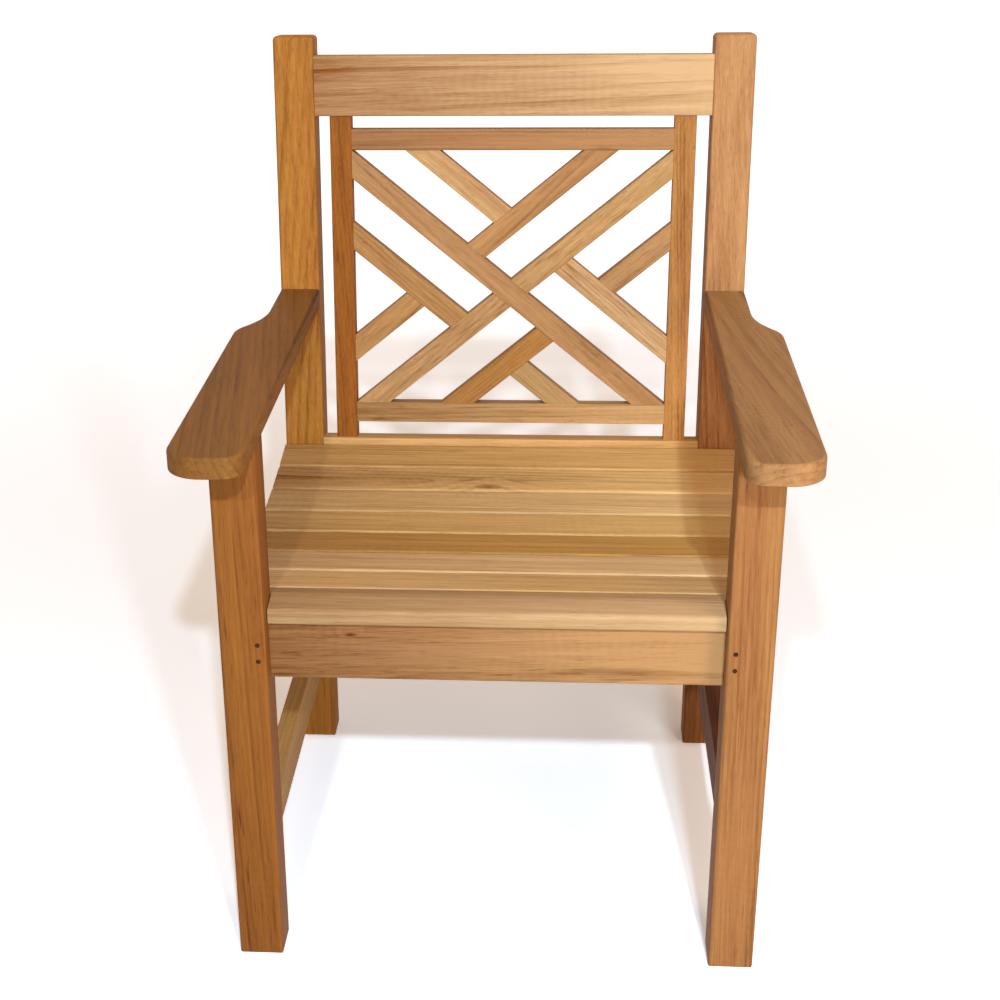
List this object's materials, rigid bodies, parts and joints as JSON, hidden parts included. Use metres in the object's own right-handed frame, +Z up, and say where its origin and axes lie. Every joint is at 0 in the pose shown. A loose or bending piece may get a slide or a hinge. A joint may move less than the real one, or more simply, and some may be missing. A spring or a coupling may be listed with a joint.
{
  "type": "patio armchair",
  "caption": "Fixed teak patio armchair with a hollowed slatted seat, broad flat arms, bent back posts and a back of crossed diagonal fret bars under a plain crest rail.",
  "frame": {"origin": "on the floor, at the middle of the chair's overall width and depth", "axes": "+Z up from the feet; the chair faces -Y, so +Y is towards its back; +X is to the right of someone who looks at its front"},
  "size_m": [0.622, 0.6706, 0.914],
  "materials": {
    "frame_teak": "sanded, oiled",
    "slat_teak": "sanded, oiled",
    "fret_teak": "sanded, oiled",
    "peg_wood": "dark end grain"
  },
  "bodies": {
    "root": {"apron_pegs": "peg_wood", "armrest_left": "frame_teak", "armrest_right": "frame_teak", "back_post_left": "frame_teak", "back_post_right": "frame_teak", "centre_seat_bearer": "frame_teak", "crest_rail": "frame_teak", "crest_rail_pegs": "peg_wood", "fret_bar_bottom_left": "fret_teak", "fret_bar_bottom_right": "fret_teak", "fret_bar_left_lower": "fret_teak", "fret_bar_left_upper": "fret_teak", "fret_bar_right_lower": "fret_teak", "fret_bar_right_upper": "fret_teak", "fret_bar_top_left": "fret_teak", "fret_bar_top_right": "fret_teak", "fret_bottom_rail": "fret_teak", "fret_long_bar_falling": "fret_teak", "fret_long_bar_rising": "fret_teak", "fret_stile_left": "fret_teak", "fret_stile_right": "fret_teak", "fret_top_rail": "fret_teak", "front_apron": "frame_teak", "front_leg_left": "frame_teak", "front_leg_right": "frame_teak", "rear_rail_pegs": "peg_wood", "rear_seat_rail": "frame_teak", "seat_slat_1": "slat_teak", "seat_slat_2": "slat_teak", "seat_slat_3": "slat_teak", "seat_slat_4": "slat_teak", "seat_slat_5": "slat_teak", "seat_slat_6": "slat_teak", "seat_slat_7": "slat_teak", "seat_slat_8": "slat_teak", "side_rail_pegs": "peg_wood", "side_seat_rail_left": "frame_teak", "side_seat_rail_right": "frame_teak", "side_stretcher_left": "frame_teak", "side_stretcher_right": "frame_teak", "stretcher_pegs": "peg_wood"}
  },
  "joints": []
}
